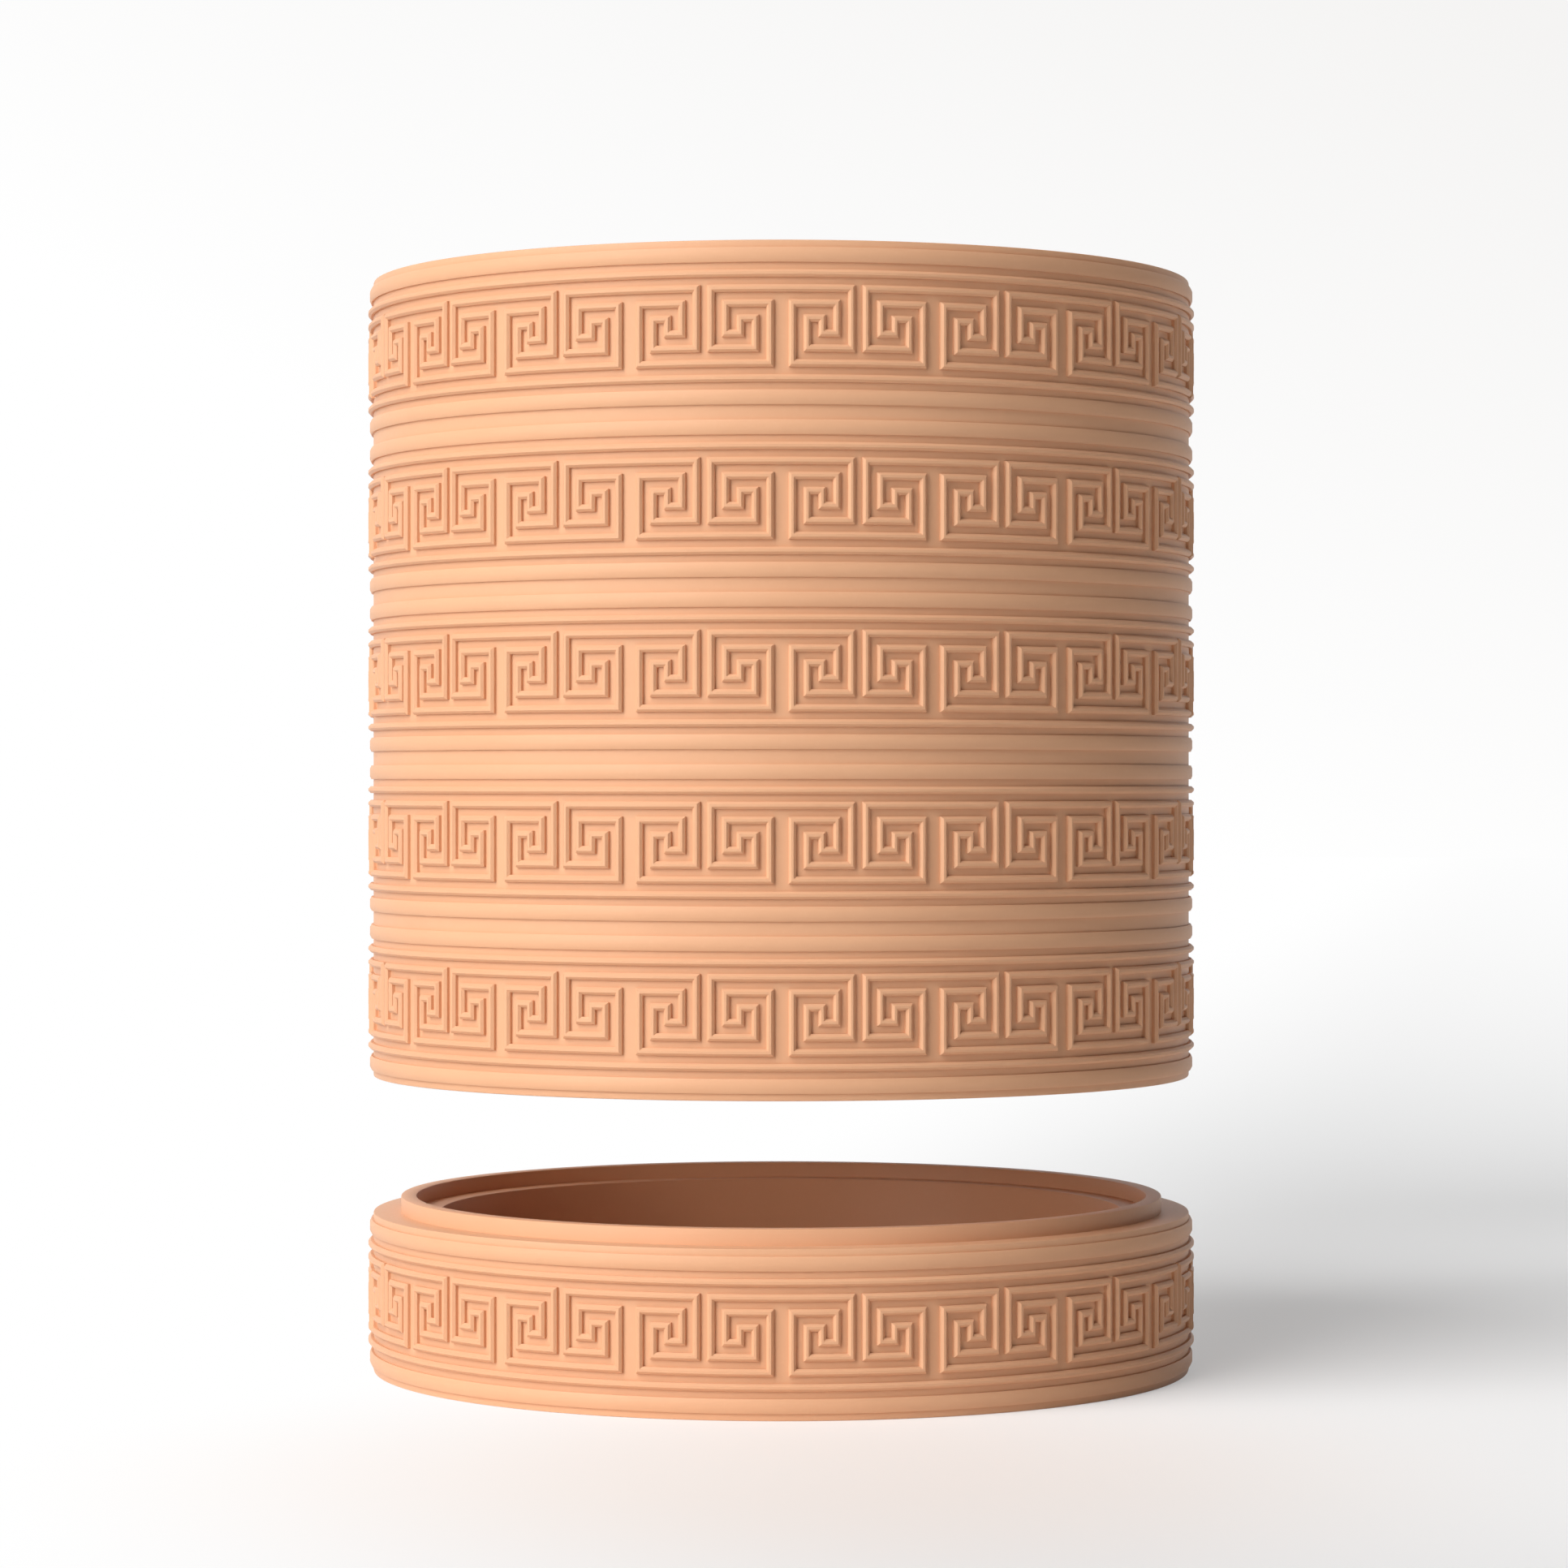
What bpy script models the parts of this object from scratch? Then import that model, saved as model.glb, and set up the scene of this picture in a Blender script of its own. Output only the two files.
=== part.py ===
"""Cylindrical flower vase in fired clay: a ribbed pot that lifts off a matching base tray.

The pot and the tray are turned bodies with the same wall, which carries turned ribs and bands of a
key pattern. A thin ring on top of the tray seats in a groove under the pot, and the pot drains into
the tray through one hole in its floor. The model holds the pot lifted clear of the tray. Lengths are
in metres, +Z is up, and the origin is in the middle of the tray's underside.
"""

import math

import bmesh
import bpy
from mathutils import Vector

# The wall that the pot and the tray share
WALL_RADIUS = 0.0790
WALL_THICKNESS = 0.0130

# The ornament: every rib, every gap and every field of the key pattern is whole cells high
CELL = 0.00133
FIELD_ROWS = 13
PLAIN_EDGE = CELL
WIDE_RIB = 2 * CELL
GAP = CELL
THIN_RIB = CELL
KEY_FIELD = FIELD_ROWS * CELL
WIDE_RIB_PROUD = 0.0007
WIDE_RIB_BEVEL = 0.0005
THIN_RIB_PROUD = 0.0010
THIN_RIB_BEVEL = 0.0004

# The key pattern: its units stand side by side round a field, and each is its own mirror image.
# Half a unit is counted in cells, across from the middle of the gap between two units to the middle
# of the unit, and down from the thin rib above. A stroke's middle line has one square corner and
# stops short at its last spot: the tie bridges the gap, and the frame runs round the unit's foot.
KEY_UNITS = 18
HALF_UNIT_COLUMNS = 10.5
TIE_STROKE = ((0.0, 1.5), (9.5, 1.5), (9.5, 10.0))
FRAME_STROKE = ((10.5, 11.5), (1.5, 11.5), (1.5, 3.0))
HALF_STROKE = 0.5
STROKE_PROUD = THIN_RIB_PROUD

# The pot
POT_BANDS = 5
POT_FLOOR = 0.0100
POT_FILLET = 0.0060
DRAIN_RADIUS = 0.0100

# The tray
TRAY_BANDS = 1
TRAY_FLOOR = 0.0070
TRAY_FILLET = 0.0040

# The ring on the tray and the groove that takes it
RING_INSET = 0.0053
RING_THICKNESS = 0.0030
RING_HEIGHT = 0.0030
RING_CLEARANCE = 0.0005

# How far the pot is held above its seat on the tray
LIFT = 0.0262

# Faceting: the wall has one flat for each half unit of the key pattern
HALF_UNIT_TURN = math.pi / KEY_UNITS
ROUND_STEPS = 2 * KEY_UNITS
FILLET_STEPS = 3
SHARP_ANGLE = math.radians(30)
MERGE_DISTANCE = 1e-6

# Fired clay
CLAY_COLOUR = (0.70, 0.37, 0.21, 1.0)
CLAY_ROUGHNESS = 0.85

FOOT = (0.0, 0.0, 0.0)
UP = (0.0, 0.0, 1.0)
BAND_HEIGHT = 2 * (PLAIN_EDGE + WIDE_RIB + GAP + THIN_RIB) + KEY_FIELD
POT_HEIGHT = POT_BANDS * BAND_HEIGHT
TRAY_HEIGHT = TRAY_BANDS * BAND_HEIGHT
INNER_RADIUS = WALL_RADIUS - WALL_THICKNESS
RING_OUTER = WALL_RADIUS - RING_INSET
RING_INNER = RING_OUTER - RING_THICKNESS


def clear_scene():
    for item in list(bpy.data.objects):
        bpy.data.objects.remove(item)


def fired_clay(name):
    """A matte unglazed clay body."""
    clay = bpy.data.materials.new(name)
    clay.use_nodes = True
    shader = clay.node_tree.nodes["Principled BSDF"]
    shader.inputs["Base Color"].default_value = CLAY_COLOUR
    shader.inputs["Roughness"].default_value = CLAY_ROUGHNESS
    shader.inputs["Metallic"].default_value = 0.0
    return clay


def rib(top, height, proud, bevel):
    """The outline of one turned rib, from its top edge down, as (radius, height) points."""
    bottom = top - height
    crest = WALL_RADIUS + proud
    return [
        (WALL_RADIUS, top),
        (crest, top - bevel),
        (crest, bottom + bevel),
        (WALL_RADIUS, bottom),
    ]


def wide_rib(top):
    return rib(top, WIDE_RIB, WIDE_RIB_PROUD, WIDE_RIB_BEVEL)


def thin_rib(top):
    return rib(top, THIN_RIB, THIN_RIB_PROUD, THIN_RIB_BEVEL)


def outer_wall(bands):
    """The ribbed outside of a piece that stands on height 0, top to bottom, in several outlines.

    Each outline but the last stops at the thin rib above a field of the key pattern, and the next one
    goes on from the thin rib below that field.
    """
    height = bands * BAND_HEIGHT
    outlines = [[(WALL_RADIUS, height)]]
    for band in range(bands):
        upper_wide = height - band * BAND_HEIGHT - PLAIN_EDGE
        upper_thin = upper_wide - WIDE_RIB - GAP
        lower_thin = upper_thin - THIN_RIB - KEY_FIELD
        lower_wide = lower_thin - THIN_RIB - GAP
        outlines[-1] += wide_rib(upper_wide) + thin_rib(upper_thin)
        outlines.append(thin_rib(lower_thin) + wide_rib(lower_wide))
    outlines[-1].append((WALL_RADIUS, 0.0))
    return outlines


def fillet(floor, radius):
    """The rounded corner between a floor and the inner wall, from the floor up."""
    centre = (INNER_RADIUS - radius, floor + radius)
    turns = [0.5 * math.pi * step / FILLET_STEPS for step in range(FILLET_STEPS + 1)]
    return [(centre[0] + radius * math.sin(turn), centre[1] - radius * math.cos(turn)) for turn in turns]


def stroke_edges(stroke):
    """The two edges of a stroke, left and right of its middle line."""
    start, corner, end = [Vector(spot) for spot in stroke]
    first = (corner - start).normalized().orthogonal() * HALF_STROKE
    second = (end - corner).normalized().orthogonal() * HALF_STROKE
    left = [start + first, corner + first + second, end + second]
    right = [start - first, corner - first - second, end - second]
    return left, right


def on_flat(spot, side, top, proud):
    """The point at a spot of the half unit on one side, -1 or 1, of the gap at the front of a field."""
    across, down = spot
    radius = WALL_RADIUS + proud
    turn = side * HALF_UNIT_TURN
    height = top - down * CELL
    gap_middle = Vector((0.0, -radius, height))
    unit_middle = Vector((radius * math.sin(turn), -radius * math.cos(turn), height))
    return gap_middle.lerp(unit_middle, across / HALF_UNIT_COLUMNS)


def raised_stroke(stroke, side, top):
    """The faces of one stroke, as lists of points: two slopes up to a ridge, and the end."""
    ridge = [on_flat(spot, side, top, STROKE_PROUD) for spot in stroke]
    left, right = [[on_flat(spot, side, top, 0.0) for spot in edge] for edge in stroke_edges(stroke)]
    faces = [[left[2], right[2], ridge[2]]]
    for foot in (left, right):
        faces.append([foot[0], foot[1], ridge[1], ridge[0]])
        faces.append([foot[1], foot[2], ridge[2], ridge[1]])
    return faces


def half_unit(side, top):
    """The faces of half a unit of the key pattern, as lists of points: the wall and its strokes."""
    tie_left, tie_right = stroke_edges(TIE_STROKE)
    frame_left, frame_right = stroke_edges(FRAME_STROKE)
    wall = [(0.0, 0.0), *tie_right, *reversed(tie_left), (0.0, FIELD_ROWS)]
    wall += [(HALF_UNIT_COLUMNS, FIELD_ROWS), *frame_right, *reversed(frame_left), (HALF_UNIT_COLUMNS, 0.0)]
    faces = [[on_flat(spot, side, top, 0.0) for spot in wall]]
    return faces + raised_stroke(TIE_STROKE, side, top) + raised_stroke(FRAME_STROKE, side, top)


def key_field(form, top):
    """One field of the key pattern: the half units beside one gap, copied round the wall."""
    points = half_unit(-1, top) + half_unit(1, top)
    faces = [form.faces.new([form.verts.new(point) for point in corners]) for corners in points]
    edges = [edge for face in faces for edge in face.edges]
    corners = [corner for face in faces for corner in face.verts]
    bmesh.ops.spin(
        form,
        geom=corners + edges + faces,
        cent=FOOT,
        axis=UP,
        angle=math.tau - 2 * HALF_UNIT_TURN,
        steps=KEY_UNITS - 1,
        use_duplicate=True,
    )


def turned(name, outlines, clay):
    """One closed body: half outlines spun round the vertical axis, with key fields between them."""
    form = bmesh.new()
    for outline in outlines:
        points = [form.verts.new((0.0, -radius, height)) for radius, height in outline]
        edges = [form.edges.new(pair) for pair in zip(points, points[1:])]
        bmesh.ops.spin(
            form,
            geom=points + edges,
            cent=FOOT,
            axis=UP,
            angle=math.tau,
            steps=ROUND_STEPS,
            use_merge=True,
        )
    for outline in outlines[:-1]:
        field_top = outline[-1][1]
        key_field(form, field_top)
    bmesh.ops.remove_doubles(form, verts=form.verts, dist=MERGE_DISTANCE)
    bmesh.ops.recalc_face_normals(form, faces=form.faces)
    mesh = bpy.data.meshes.new(name)
    form.to_mesh(mesh)
    form.free()
    mesh.shade_smooth()
    mesh.set_sharp_from_angle(angle=SHARP_ANGLE)
    mesh.materials.append(clay)
    piece = bpy.data.objects.new(name, mesh)
    bpy.context.scene.collection.objects.link(piece)
    return piece


def vase_body():
    """The pot: ribbed wall, plain inside, a floor with a drain hole and the groove in its underside."""
    groove_roof = RING_HEIGHT + RING_CLEARANCE
    groove_outer = RING_OUTER + RING_CLEARANCE
    groove_inner = RING_INNER - RING_CLEARANCE
    drain_rim = (DRAIN_RADIUS, POT_FLOOR)
    inside = [drain_rim] + fillet(POT_FLOOR, POT_FILLET) + [(INNER_RADIUS, POT_HEIGHT)]
    underside = [
        (groove_outer, 0.0),
        (groove_outer, groove_roof),
        (groove_inner, groove_roof),
        (groove_inner, 0.0),
        (DRAIN_RADIUS, 0.0),
        drain_rim,
    ]
    outlines = outer_wall(POT_BANDS)
    outlines[0] = inside + outlines[0]
    outlines[-1] += underside
    return turned("vase_body", outlines, fired_clay("pot clay"))


def base_tray():
    """The tray: ribbed wall, flat underside, a hollow and the locating ring on its rim."""
    hollow = [(0.0, TRAY_FLOOR)] + fillet(TRAY_FLOOR, TRAY_FILLET) + [(INNER_RADIUS, TRAY_HEIGHT)]
    ring = [
        (RING_INNER, TRAY_HEIGHT),
        (RING_INNER, TRAY_HEIGHT + RING_HEIGHT),
        (RING_OUTER, TRAY_HEIGHT + RING_HEIGHT),
        (RING_OUTER, TRAY_HEIGHT),
    ]
    outlines = outer_wall(TRAY_BANDS)
    outlines[0] = hollow + ring + outlines[0]
    outlines[-1].append((0.0, 0.0))
    return turned("base_tray", outlines, fired_clay("tray clay"))


clear_scene()
base_tray()
vase_body().location = (0.0, 0.0, TRAY_HEIGHT + LIFT)
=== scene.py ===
"""Looks of the two-piece clay flower vase: a ribbed pot held clear of its base tray.

Each piece is turned on the vase's axis and carries bands of a raised key pattern. Lengths are in
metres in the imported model's own frame, and the camera stands on -Y.
"""

import math

import bpy
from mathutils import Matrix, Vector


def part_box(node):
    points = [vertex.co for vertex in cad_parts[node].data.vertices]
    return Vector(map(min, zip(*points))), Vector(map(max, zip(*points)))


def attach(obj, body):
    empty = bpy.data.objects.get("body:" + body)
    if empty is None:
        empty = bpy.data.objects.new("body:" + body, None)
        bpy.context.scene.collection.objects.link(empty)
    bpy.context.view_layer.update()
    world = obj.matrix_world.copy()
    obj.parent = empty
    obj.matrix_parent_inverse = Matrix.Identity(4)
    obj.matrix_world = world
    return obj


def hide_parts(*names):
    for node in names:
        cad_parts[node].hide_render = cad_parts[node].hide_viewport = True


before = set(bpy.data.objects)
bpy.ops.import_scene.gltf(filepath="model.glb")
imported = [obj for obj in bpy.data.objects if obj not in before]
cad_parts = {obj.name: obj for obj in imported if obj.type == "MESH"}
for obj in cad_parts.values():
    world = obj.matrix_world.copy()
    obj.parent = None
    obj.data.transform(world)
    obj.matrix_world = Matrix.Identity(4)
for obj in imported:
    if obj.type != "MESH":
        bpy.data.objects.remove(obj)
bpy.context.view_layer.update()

MM = 0.001

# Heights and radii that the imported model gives
POT_LOW, POT_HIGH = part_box("vase_body")
TRAY_LOW, TRAY_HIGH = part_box("base_tray")
POT_FOOT = POT_LOW.z
POT_RIM = POT_HIGH.z
TRAY_FOOT = TRAY_LOW.z
RING_TOP = TRAY_HIGH.z

# The lattice that ribs, gaps and key pattern share, counted in square cells
POT_BANDS = 5
KEY_ROWS = 11
EDGE_CELLS = 1
WIDE_RIB_CELLS = 2
THIN_RIB_CELLS = 1
GAP_CELLS = 1
MARGIN_CELLS = EDGE_CELLS + WIDE_RIB_CELLS + GAP_CELLS + THIN_RIB_CELLS + GAP_CELLS
BAND_CELLS = 2 * MARGIN_CELLS + KEY_ROWS
CELL = (POT_RIM - POT_FOOT) / (POT_BANDS * BAND_CELLS)
BAND_HEIGHT = BAND_CELLS * CELL

# Sections of the ribs and of the key strip: how far they stand off the wall, the height of their
# square sides, and the width of the bevel above those
STRIP_PROUD = 1.00 * MM
STRIP_SIDE = 0.55 * MM
STRIP_BEVEL = STRIP_PROUD - STRIP_SIDE
WIDE_RIB_PROUD = 0.70 * MM
WIDE_RIB_SIDE = 0.42 * MM
WIDE_RIB_BEVEL = 0.57 * MM
STRIP_SUNK = 0.10 * MM

# Walls, floors, ring and groove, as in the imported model
WALL_RADIUS = POT_HIGH.x - STRIP_PROUD
WALL_THICKNESS = 13.0 * MM
INNER_RADIUS = WALL_RADIUS - WALL_THICKNESS
POT_FLOOR = POT_FOOT + 10.0 * MM
POT_FILLET = 6.0 * MM
DRAIN_RADIUS = 10.0 * MM
TRAY_RIM = TRAY_FOOT + BAND_HEIGHT
TRAY_FLOOR = TRAY_FOOT + 7.0 * MM
TRAY_FILLET = 4.0 * MM
RING_OUTER = WALL_RADIUS - 5.3 * MM
RING_INNER = RING_OUTER - 3.0 * MM
GROOVE_CLEARANCE = 0.5 * MM
GROOVE_ROOF = POT_FOOT + (RING_TOP - TRAY_RIM) + GROOVE_CLEARANCE
SOFT_EDGE = 0.25 * MM

# Key pattern: units round the vase, cells along a unit, and the corners of the strip's path through
# the left half of a unit as (column, row) from its upper left. The right half mirrors it.
KEY_UNITS = 18
UNIT_CELLS = 21
KEY_COLUMNS = KEY_UNITS * UNIT_CELLS
MIDDLE_COLUMN = 9
KEY_CORNERS = (
    (9, 10), (0, 10), (0, 2), (6, 2), (6, 6), (4, 6), (4, 4), (2, 4), (2, 8), (8, 8), (8, 0), (-2, 0),
)
# The gap between two units faces the camera
FRONT_COLUMN = 20

# Smoothness of the turned surfaces
TURN_STEPS = 189
ARC_STEPS = 8
EDGE_STEPS = 2
SMOOTH_ANGLE = math.radians(30)
MERGE_DISTANCE = 1e-6


def only(piece):
    """Makes one object the sole selected and active one."""
    bpy.ops.object.select_all(action="DESELECT")
    piece.select_set(True)
    bpy.context.view_layer.objects.active = piece


def arc(centre, radius, start, end, steps):
    """Points of (radius, height) along an arc between two angles in degrees, 0 pointing outwards."""
    turns = [math.radians(start + (end - start) * step / steps) for step in range(steps + 1)]
    return [(centre[0] + radius * math.cos(turn), centre[1] + radius * math.sin(turn)) for turn in turns]


def soft_corner(radius, height, outwards, upwards, from_top):
    """A rounded outer corner, drawn from its flat face to its upright one, or the other way round."""
    centre = (radius - outwards * SOFT_EDGE, height - upwards * SOFT_EDGE)
    upright = 0 if outwards > 0 else 180
    flat = 90 * upwards
    if upright == 180 and upwards < 0:
        flat = 270
    ends = (flat, upright) if from_top else (upright, flat)
    return arc(centre, SOFT_EDGE, *ends, EDGE_STEPS)


def rib(top, cells, proud, side, bevel):
    """The outline of one rib from its top edge down: square sides, bevelled shoulders, a flat crest."""
    bottom = top - cells * CELL
    return [
        (WALL_RADIUS, top),
        (WALL_RADIUS + side, top),
        (WALL_RADIUS + proud, top - bevel),
        (WALL_RADIUS + proud, bottom + bevel),
        (WALL_RADIUS + side, bottom),
        (WALL_RADIUS, bottom),
    ]


def band_ribs(top):
    """The outlines of the four ribs of one band, top to bottom."""
    wide = (WIDE_RIB_CELLS, WIDE_RIB_PROUD, WIDE_RIB_SIDE, WIDE_RIB_BEVEL)
    thin = (THIN_RIB_CELLS, STRIP_PROUD, STRIP_SIDE, STRIP_BEVEL)
    upper_wide = top - EDGE_CELLS * CELL
    upper_thin = upper_wide - (WIDE_RIB_CELLS + GAP_CELLS) * CELL
    lower_thin = upper_thin - (THIN_RIB_CELLS + GAP_CELLS + KEY_ROWS + GAP_CELLS) * CELL
    lower_wide = lower_thin - (THIN_RIB_CELLS + GAP_CELLS) * CELL
    upper = rib(upper_wide, *wide) + rib(upper_thin, *thin)
    lower = rib(lower_thin, *thin) + rib(lower_wide, *wide)
    return upper + lower


def ribbed_wall(rim, bands):
    """The outside of a piece below its rim and above its foot."""
    outline = []
    for band in range(bands):
        outline += band_ribs(rim - band * BAND_HEIGHT)
    return outline


def turn(name, outline, closed):
    """A turned piece: one point drawn out along a half outline and spun round the vase's axis."""
    bpy.ops.object.select_all(action="DESELECT")
    bpy.ops.mesh.primitive_plane_add(size=CELL, location=(0, 0, 0))
    piece = bpy.context.object
    piece.name = name
    path = outline + outline[:1] if closed else outline
    bpy.ops.object.mode_set(mode="EDIT")
    bpy.ops.mesh.select_mode(type="VERT")
    bpy.ops.mesh.select_all(action="SELECT")
    bpy.ops.mesh.merge(type="CENTER")
    bpy.ops.transform.translate(value=(path[0][0], 0, path[0][1]))
    for here, there in zip(path, path[1:]):
        step = (there[0] - here[0], 0, there[1] - here[1])
        bpy.ops.mesh.extrude_region_move(TRANSFORM_OT_translate={"value": step})
    bpy.ops.mesh.select_all(action="SELECT")
    bpy.ops.mesh.remove_doubles(threshold=MERGE_DISTANCE)
    bpy.ops.mesh.spin(steps=TURN_STEPS, angle=math.tau, center=(0, 0, 0), axis=(0, 0, 1))
    bpy.ops.mesh.select_all(action="SELECT")
    bpy.ops.mesh.remove_doubles(threshold=MERGE_DISTANCE)
    bpy.ops.mesh.normals_make_consistent(inside=False)
    bpy.ops.object.mode_set(mode="OBJECT")
    return piece


def on_key_path(column, row):
    """Whether the strip runs through this cell of a unit."""
    half = column if column <= MIDDLE_COLUMN else 2 * MIDDLE_COLUMN - column
    for (column_a, row_a), (column_b, row_b) in zip(KEY_CORNERS, KEY_CORNERS[1:]):
        across = min(column_a, column_b) <= half <= max(column_a, column_b)
        down = min(row_a, row_b) <= row <= max(row_a, row_b)
        if across and down:
            return True
    return False


def key_band(name, band_top):
    """One ring of the key pattern: a lattice of cells cut down to the strip's path and raised."""
    top = band_top - MARGIN_CELLS * CELL
    depth = KEY_ROWS * CELL
    bpy.ops.object.select_all(action="DESELECT")
    bpy.ops.mesh.primitive_cylinder_add(
        vertices=KEY_COLUMNS,
        radius=WALL_RADIUS - STRIP_SUNK,
        depth=depth,
        end_fill_type="NOTHING",
        location=(0, 0, top - depth / 2),
    )
    band = bpy.context.object
    band.name = name
    bpy.ops.object.transform_apply(location=True, rotation=True, scale=True)
    mesh = band.data

    bpy.ops.object.mode_set(mode="EDIT")
    bpy.ops.mesh.select_mode(type="EDGE")
    bpy.ops.mesh.select_all(action="DESELECT")
    bpy.ops.object.mode_set(mode="OBJECT")
    for edge in mesh.edges:
        low, high = (mesh.vertices[end].co.z for end in edge.vertices)
        edge.select = abs(high - low) > depth / 2
    bpy.ops.object.mode_set(mode="EDIT")
    bpy.ops.mesh.subdivide(number_cuts=KEY_ROWS - 1)

    bpy.ops.mesh.select_mode(type="FACE")
    bpy.ops.mesh.select_all(action="DESELECT")
    bpy.ops.object.mode_set(mode="OBJECT")
    for face in mesh.polygons:
        turned = math.atan2(face.center.x, -face.center.y) / math.tau * KEY_COLUMNS
        column = math.floor(turned + FRONT_COLUMN) % UNIT_CELLS
        row = math.floor((top - face.center.z) / CELL)
        face.select = not on_key_path(column, row)
    bpy.ops.object.mode_set(mode="EDIT")
    bpy.ops.mesh.delete(type="FACE")

    bpy.ops.mesh.select_all(action="SELECT")
    bpy.ops.mesh.extrude_region_shrink_fatten(
        TRANSFORM_OT_shrink_fatten={"value": STRIP_SUNK + STRIP_SIDE, "use_even_offset": True}
    )
    bpy.ops.mesh.inset(thickness=STRIP_BEVEL, depth=STRIP_BEVEL, use_even_offset=True)
    bpy.ops.mesh.select_all(action="SELECT")
    bpy.ops.mesh.normals_make_consistent(inside=False)
    bpy.ops.object.mode_set(mode="OBJECT")
    return band


def join(piece, others):
    """Makes several meshes one piece, smooth on its curves and crisp at its edges."""
    only(piece)
    for other in others:
        other.select_set(True)
    bpy.ops.object.join()
    bpy.ops.object.shade_smooth_by_angle(angle=SMOOTH_ANGLE)
    return piece


def make_pot():
    """The pot: ribbed wall, plain inside, drained floor and the groove in its underside."""
    groove_outer = RING_OUTER + GROOVE_CLEARANCE
    groove_inner = RING_INNER - GROOVE_CLEARANCE
    fillet_centre = (INNER_RADIUS - POT_FILLET, POT_FLOOR + POT_FILLET)
    outline = soft_corner(WALL_RADIUS, POT_RIM, 1, 1, True)
    outline += ribbed_wall(POT_RIM, POT_BANDS)
    outline += soft_corner(WALL_RADIUS, POT_FOOT, 1, -1, False)
    outline += [
        (groove_outer, POT_FOOT),
        (groove_outer, GROOVE_ROOF),
        (groove_inner, GROOVE_ROOF),
        (groove_inner, POT_FOOT),
    ]
    outline += soft_corner(DRAIN_RADIUS, POT_FOOT, -1, -1, True)
    outline += soft_corner(DRAIN_RADIUS, POT_FLOOR, -1, 1, False)
    outline += arc(fillet_centre, POT_FILLET, -90, 0, ARC_STEPS)
    outline += soft_corner(INNER_RADIUS, POT_RIM, -1, 1, False)
    pot = turn("pot", outline, True)
    bands = [key_band(f"pot_key_{band}", POT_RIM - band * BAND_HEIGHT) for band in range(POT_BANDS)]
    return join(pot, bands)


def make_tray():
    """The base tray: ribbed wall, hollow, flat underside and the locating ring on its rim."""
    fillet_centre = (INNER_RADIUS - TRAY_FILLET, TRAY_FLOOR + TRAY_FILLET)
    outline = [(0, TRAY_FLOOR)]
    outline += arc(fillet_centre, TRAY_FILLET, -90, 0, ARC_STEPS)
    outline += soft_corner(INNER_RADIUS, TRAY_RIM, -1, 1, False)
    outline += [(RING_INNER, TRAY_RIM)]
    outline += soft_corner(RING_INNER, RING_TOP, -1, 1, False)
    outline += soft_corner(RING_OUTER, RING_TOP, 1, 1, True)
    outline += [(RING_OUTER, TRAY_RIM)]
    outline += soft_corner(WALL_RADIUS, TRAY_RIM, 1, 1, True)
    outline += ribbed_wall(TRAY_RIM, 1)
    outline += soft_corner(WALL_RADIUS, TRAY_FOOT, 1, -1, False)
    outline += [(0, TRAY_FOOT)]
    tray = turn("tray", outline, False)
    return join(tray, [key_band("tray_key", TRAY_RIM)])


def linear(hex_colour):
    """An sRGB hex colour as linear RGBA."""
    channels = [int(hex_colour[place:place + 2], 16) / 255 for place in (1, 3, 5)]
    curve = [c / 12.92 if c <= 0.04045 else ((c + 0.055) / 1.055) ** 2.4 for c in channels]
    return (*curve, 1.0)


def node(tree, kind, settings=None, **inputs):
    """Adds one node, with settings on the node itself and values or links on its inputs."""
    made = tree.nodes.new(kind)
    for name, value in (settings or {}).items():
        setattr(made, name, value)
    for name, value in inputs.items():
        socket = made.inputs[int(name[1:])] if name[0] == "_" else made.inputs[name.replace("_", " ")]
        if isinstance(value, bpy.types.NodeSocket):
            tree.links.new(value, socket)
        else:
            socket.default_value = value
    return made


def new_material(name):
    """An empty node material and its output node."""
    material = bpy.data.materials.new(name)
    material.use_nodes = True
    tree = material.node_tree
    tree.nodes.clear()
    return material, tree, tree.nodes.new("ShaderNodeOutputMaterial")


# Clay: colours from one firing cloud to the next and of the grog, the sizes of clouds, grog and surface
# grain, how much the grog shows, and the gloss that goes with a dry, unglazed surface
CLOUD_COLOURS = ("#daa681", "#dca984")
GROG_COLOUR = "#e8bd9c"
CLOUD_SIZE = 28.0 * MM
GROG_SIZE = 0.9 * MM
GRAIN_SIZE = 0.35 * MM
GRAIN_DEPTH = 0.02 * MM
GRAIN_STRENGTH = 0.15
GROG_SHARE = 0.08
CLAY_ROUGHNESS = (0.40, 0.50)
CLAY_IOR = 1.5
CLAY_SPECULAR = 0.16
# The part of a noise's range that is spread out, for clouds and grain, and for the sparser grog
NOISE_SPREAD = {"From_Min": 0.3, "From_Max": 0.7}
GROG_SPREAD = {"From_Min": 0.55, "From_Max": 0.8}
CLOUD_NOISE = {"Scale": 1 / CLOUD_SIZE, "Detail": 3.0, "Roughness": 0.55}
GROG_NOISE = {"Scale": 1 / GROG_SIZE, "Detail": 2.0, "Roughness": 0.6}
GRAIN_NOISE = {"Scale": 1 / GRAIN_SIZE, "Detail": 2.0, "Roughness": 0.6}


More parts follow.
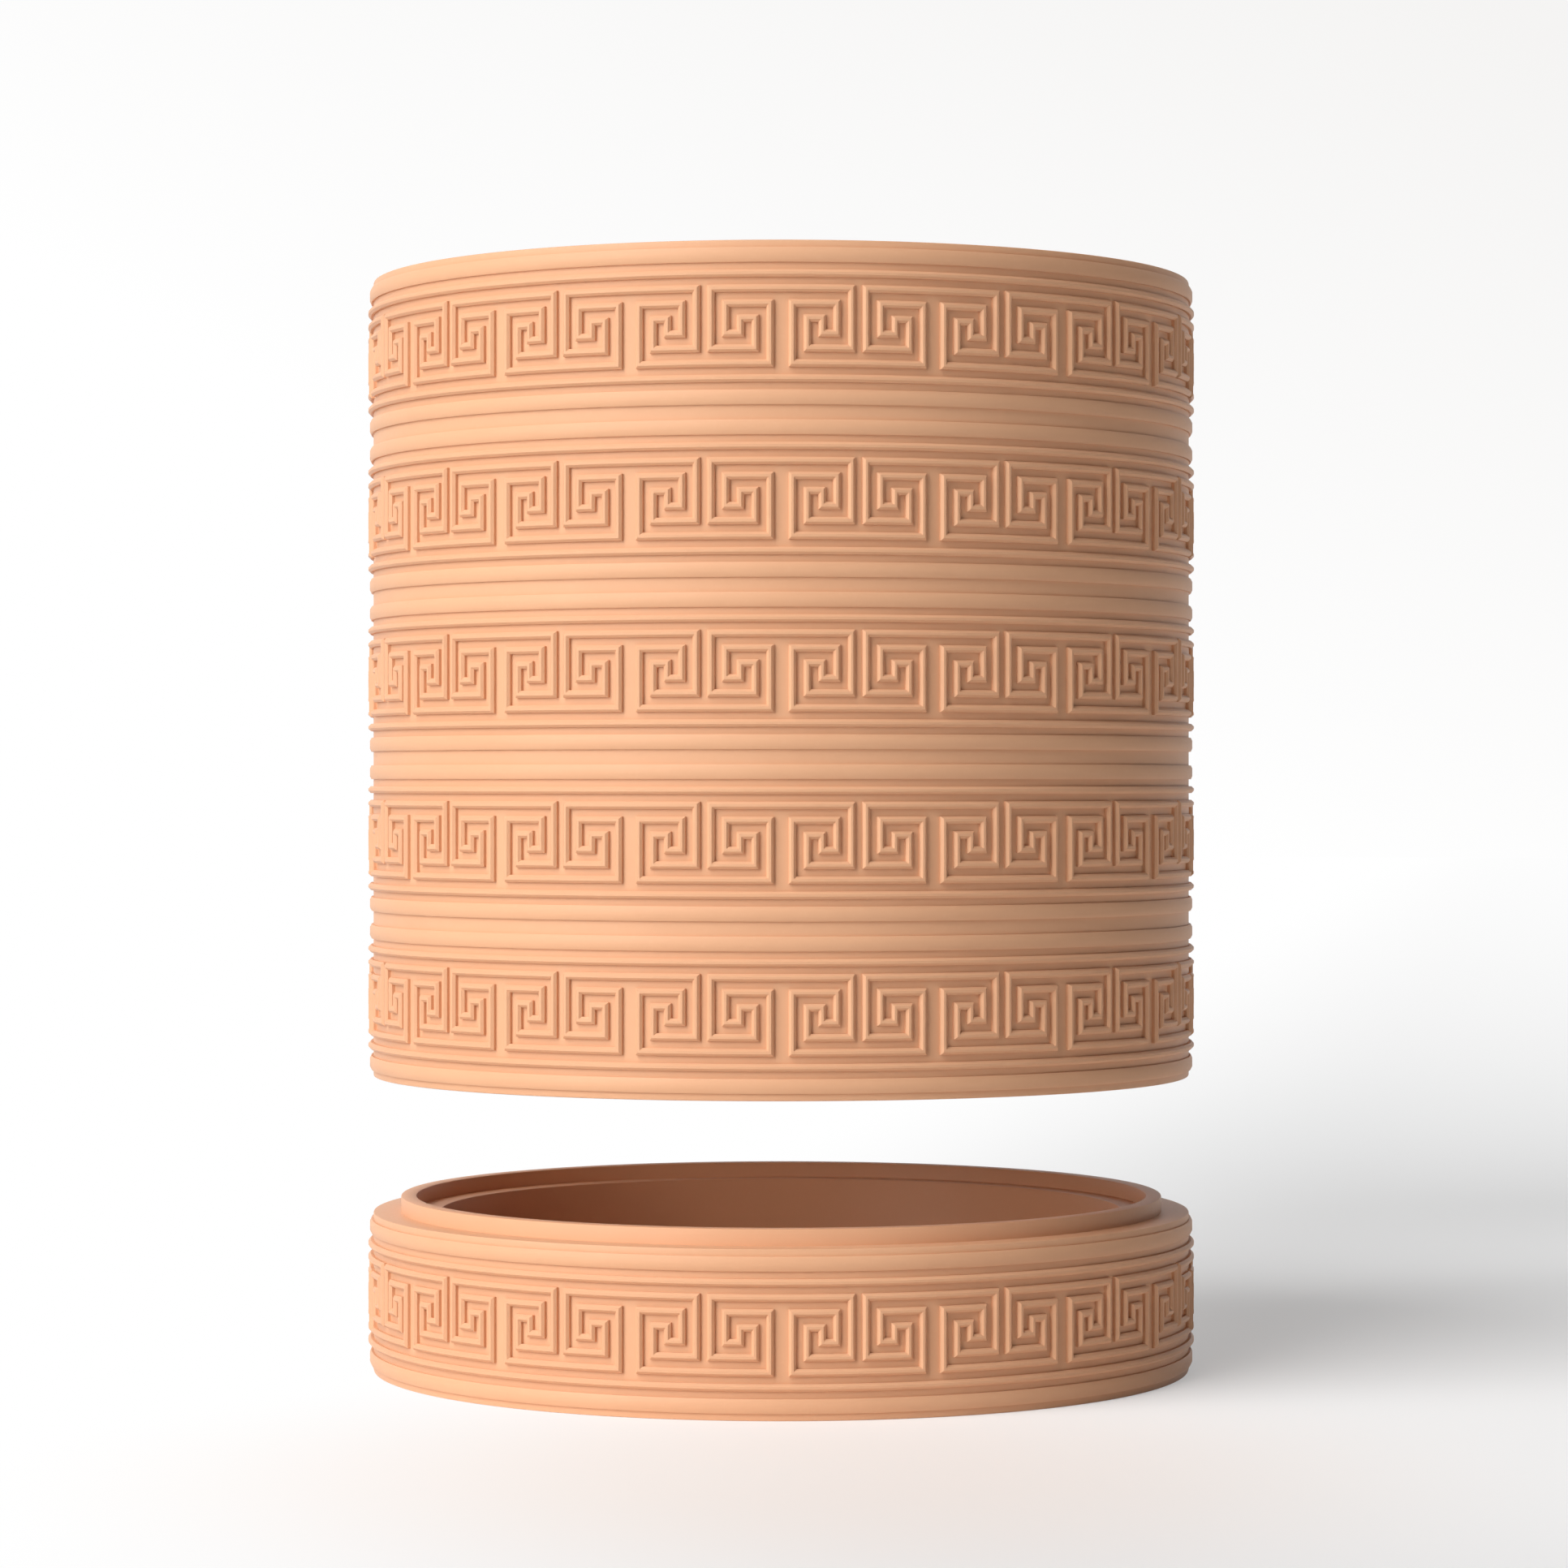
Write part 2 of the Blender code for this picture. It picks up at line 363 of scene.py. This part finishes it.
def unglazed_terracotta():
    """Fired terracotta with no glaze, cast in a smooth mould: matte, pale orange, almost even in
    colour, with slight clouds from the firing, fine pale grog and a faint dry grain. The grain is drawn
    a few times coarser than the real one, so that it still shows."""
    material, tree, output = new_material("unglazed_terracotta")
    place = node(tree, "ShaderNodeTexCoord").outputs["Object"]
    clouds = node(tree, "ShaderNodeTexNoise", Vector=place, **CLOUD_NOISE).outputs["Fac"]
    grog = node(tree, "ShaderNodeTexNoise", Vector=place, **GROG_NOISE).outputs["Fac"]
    grain = node(tree, "ShaderNodeTexNoise", Vector=place, **GRAIN_NOISE).outputs["Fac"]
    cloud_amount = node(tree, "ShaderNodeMapRange", Value=clouds, **NOISE_SPREAD)
    fired = node(
        tree, "ShaderNodeMix", {"data_type": "RGBA"},
        _0=cloud_amount.outputs["Result"], _6=linear(CLOUD_COLOURS[0]), _7=linear(CLOUD_COLOURS[1]),
    )
    grog_amount = node(tree, "ShaderNodeMapRange", Value=grog, **GROG_SPREAD, To_Max=GROG_SHARE)
    flecked = node(
        tree, "ShaderNodeMix", {"data_type": "RGBA"},
        _0=grog_amount.outputs["Result"], _6=fired.outputs[2], _7=linear(GROG_COLOUR),
    )
    dryness = node(
        tree, "ShaderNodeMapRange",
        Value=grain, **NOISE_SPREAD, To_Min=CLAY_ROUGHNESS[0], To_Max=CLAY_ROUGHNESS[1],
    )
    relief = node(tree, "ShaderNodeBump", Strength=GRAIN_STRENGTH, Distance=GRAIN_DEPTH, Height=grain)
    shader = node(
        tree, "ShaderNodeBsdfPrincipled",
        Base_Color=flecked.outputs[2],
        Roughness=dryness.outputs["Result"],
        Normal=relief.outputs["Normal"],
        IOR=CLAY_IOR,
        Specular_IOR_Level=CLAY_SPECULAR,
    )
    tree.links.new(shader.outputs[0], output.inputs[0])
    return material


# Studio: one large soft box far off at the left front, a weak one high up behind the vase, and very
# little light from all round
AMBIENT = 0.047
# Height on the vase's axis that the soft boxes are aimed at
SOFT_BOX_AIM = 0.1
# name, azimuth from the camera, elevation, distance, width, height, watts
SOFT_BOXES = (
    ("key_light", -48, 35, 8.0, 6.4, 10.6, 1116),
    ("top_light", 180, 70, 1.2, 1.0, 1.0, 1.0),
)

# Floor: white paper that takes the vase's shadow and that the lens sees fade to plain white. This white
# is a glow: painted light towards the lit side, and painted fill light that makes the shadow paler
FLOOR_RADIUS = 6.0
FLOOR_SIDES = 128
# Towards the lit side, where the white glow is painted light: the direction of this fade, and where on
# it the white ends and the paper starts
LIT_SIDE_ACROSS = (1.0, -0.168, 0.0)
LIT_SIDE = {"From_Min": -0.092, "From_Max": 0.099}
# With distance, as one over the distance: a trace of paper is left at the floor's edge, where it meets
# the grey of the backdrop
FAR_FADE = {"From_Min": -0.10, "From_Max": 2.60}
# In the shadow: the share of paper round its middle, and the distances over which it rises to all. The
# rest is white glow, painted fill light that makes the shadow paler
SHADOW_MIDDLE = (0.274, 0.007, 0.0)
SHADOW_REACH = {"From_Min": 0.197, "From_Max": 0.355, "To_Min": 0.63}
# In front of the tray: painted bounce light. The paper and its glow are tinted warm there, for the warm
# light that the clay throws on the paper, which plain white would hide
PAINTED_BOUNCE_MIDDLE = (0.0, -0.14, 0.0)
PAINTED_BOUNCE_REACH = {"From_Min": 0.02, "From_Max": 0.14}
PAINTED_BOUNCE_PAPER, PLAIN_PAPER = "#f8f0eb", "#f8f8f8"
PAINTED_BOUNCE_WHITE, PLAIN_WHITE = "#fff7f2", "#ffffff"

# Backdrop seen by the lens and in reflections: white near the floor, greyer upwards and to the right
BACKDROP_SLOPE = (0.5, 0.0, 1.0)
BACKDROP_SHADES = ((0.03, PLAIN_WHITE), (0.24, "#f5f4f3"))

# Camera, from the photograph: almost level, at about half the height of the whole vase
IMAGE_SIZE = 1932
CAMERA_PLACE = (-0.0002, -0.8958, 0.1137)
CAMERA_DIP = math.radians(0.041)
CAMERA_TURN = math.radians(-0.048)
FOCAL_PIXELS = 5672
SENSOR_WIDTH = 36.0


def white_floor():
    """Matte white paper that takes the shadow near the vase and fades to plain white far from it. The
    white is a glow that is also painted light towards the lit side and painted fill light in the shadow,
    and in front of the tray the paper carries painted warm bounce light.
    """
    material, tree, output = new_material("white_paper_floor")
    smooth = {"interpolation_type": "SMOOTHSTEP"}
    times = {"operation": "MULTIPLY"}
    tinted = {"data_type": "RGBA"}
    place = node(tree, "ShaderNodeTexCoord").outputs["Object"]
    reach = node(tree, "ShaderNodeVectorMath", {"operation": "LENGTH"}, _0=place).outputs["Value"]
    closeness = node(tree, "ShaderNodeMath", {"operation": "DIVIDE"}, _0=1.0, _1=reach).outputs[0]
    across = node(
        tree, "ShaderNodeVectorMath", {"operation": "DOT_PRODUCT"}, _0=place, _1=LIT_SIDE_ACROSS
    ).outputs["Value"]
    beside = node(
        tree, "ShaderNodeVectorMath", {"operation": "DISTANCE"}, _0=place, _1=SHADOW_MIDDLE
    ).outputs["Value"]
    from_painted_bounce = node(
        tree, "ShaderNodeVectorMath", {"operation": "DISTANCE"}, _0=place, _1=PAINTED_BOUNCE_MIDDLE
    ).outputs["Value"]

    near = node(tree, "ShaderNodeMapRange", smooth, Value=closeness, **FAR_FADE).outputs[0]
    unlit = node(tree, "ShaderNodeMapRange", smooth, Value=across, **LIT_SIDE).outputs[0]
    shadow = node(tree, "ShaderNodeMapRange", smooth, Value=beside, **SHADOW_REACH).outputs[0]
    # The glow that the lens sees: plain white far off, painted light towards the lit side, and painted
    # fill light that makes the shadow paler
    near_unlit = node(tree, "ShaderNodeMath", times, _0=near, _1=unlit).outputs[0]
    kept = node(tree, "ShaderNodeMath", times, _0=near_unlit, _1=shadow).outputs[0]
    white = node(tree, "ShaderNodeMath", {"operation": "SUBTRACT"}, _0=1.0, _1=kept).outputs[0]
    light_path = node(tree, "ShaderNodeLightPath")
    seen = node(
        tree, "ShaderNodeMath", {"operation": "MAXIMUM"},
        _0=light_path.outputs["Is Camera Ray"], _1=light_path.outputs["Is Glossy Ray"],
    ).outputs[0]
    share = node(tree, "ShaderNodeMath", times, _0=white, _1=seen).outputs[0]

    # Painted bounce light: the paper and its glow are tinted warm in front of the tray
    outside_painted_bounce = node(tree, "ShaderNodeMapRange", smooth, Value=from_painted_bounce, **PAINTED_BOUNCE_REACH).outputs[0]
    paper_with_painted_bounce = node(
        tree, "ShaderNodeMix", tinted, _0=outside_painted_bounce, _6=linear(PAINTED_BOUNCE_PAPER), _7=linear(PLAIN_PAPER)
    ).outputs[2]
    glow_with_painted_bounce = node(
        tree, "ShaderNodeMix", tinted, _0=outside_painted_bounce, _6=linear(PAINTED_BOUNCE_WHITE), _7=linear(PLAIN_WHITE)
    ).outputs[2]
    paper = node(tree, "ShaderNodeBsdfDiffuse", Color=paper_with_painted_bounce).outputs[0]
    glow = node(tree, "ShaderNodeEmission", Color=glow_with_painted_bounce, Strength=1.0).outputs[0]
    mixed = node(tree, "ShaderNodeMixShader", _0=share, _1=paper, _2=glow)
    tree.links.new(mixed.outputs[0], output.inputs[0])
    return material


def make_floor():
    """The floor that the tray stands on, and that stays under it when the tray moves up to the pot."""
    bpy.ops.object.select_all(action="DESELECT")
    bpy.ops.mesh.primitive_circle_add(
        vertices=FLOOR_SIDES, radius=FLOOR_RADIUS, fill_type="NGON", location=(0, 0, 0)
    )
    floor = bpy.context.object
    floor.name = "floor"
    floor.data.materials.append(white_floor())
    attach(floor, "tray")


def light_world():
    """Weak even light from all round; the lens and reflections see the pale backdrop instead."""
    world = bpy.data.worlds.new("studio")
    bpy.context.scene.world = world
    world.use_nodes = True
    tree = world.node_tree
    tree.nodes.clear()
    output = tree.nodes.new("ShaderNodeOutputWorld")
    light_path = node(tree, "ShaderNodeLightPath")
    sharp = node(
        tree, "ShaderNodeMath", {"operation": "MAXIMUM"},
        _0=light_path.outputs["Is Camera Ray"], _1=light_path.outputs["Is Glossy Ray"],
    )
    seen = node(
        tree, "ShaderNodeMath", {"operation": "MAXIMUM"},
        _0=sharp.outputs[0], _1=light_path.outputs["Is Transmission Ray"],
    )
    direction = node(tree, "ShaderNodeTexCoord").outputs["Generated"]
    slope = node(
        tree, "ShaderNodeVectorMath", {"operation": "DOT_PRODUCT"}, _0=direction, _1=BACKDROP_SLOPE
    ).outputs["Value"]
    shades = node(tree, "ShaderNodeValToRGB", Fac=slope)
    stops = shades.color_ramp.elements
    for stop, (height, shade) in zip(stops, BACKDROP_SHADES):
        stop.position = height
        stop.color = linear(shade)
    soft = node(tree, "ShaderNodeBackground", Color=linear(PLAIN_WHITE), Strength=AMBIENT).outputs[0]
    backdrop = node(tree, "ShaderNodeBackground", Color=shades.outputs[0], Strength=1.0).outputs[0]
    mixed = node(tree, "ShaderNodeMixShader", _0=seen.outputs[0], _1=soft, _2=backdrop)
    tree.links.new(mixed.outputs[0], output.inputs[0])


def soft_box(name, azimuth, elevation, distance, width, height, watts):
    """A lamp on a sphere round the vase, turned towards it and hidden from the lens."""
    swing = math.radians(azimuth)
    climb = math.radians(elevation)
    reach = distance * math.cos(climb)
    lift = SOFT_BOX_AIM + distance * math.sin(climb)
    place = (reach * math.sin(swing), -reach * math.cos(swing), lift)
    bpy.ops.object.light_add(type="AREA", location=place, rotation=(math.pi / 2 - climb, 0, swing))
    box = bpy.context.object
    box.name = name
    box.data.shape = "RECTANGLE"
    box.data.size = width
    box.data.size_y = height
    box.data.energy = watts
    box.visible_camera = False


def make_camera():
    """The photograph's camera."""
    facing = (math.pi / 2 - CAMERA_DIP, 0, CAMERA_TURN)
    bpy.ops.object.camera_add(location=CAMERA_PLACE, rotation=facing)
    camera = bpy.context.object
    camera.name = "camera"
    camera.data.sensor_width = SENSOR_WIDTH
    camera.data.lens = SENSOR_WIDTH * FOCAL_PIXELS / IMAGE_SIZE
    bpy.context.scene.camera = camera


make_camera()
clay = unglazed_terracotta()

pot = make_pot()
pot.data.materials.append(clay)
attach(pot, "pot")
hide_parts("vase_body")

tray = make_tray()
tray.data.materials.append(clay)
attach(tray, "tray")
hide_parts("base_tray")

make_floor()
light_world()
for settings in SOFT_BOXES:
    soft_box(*settings)
bpy.context.scene.view_settings.view_transform = "Standard"
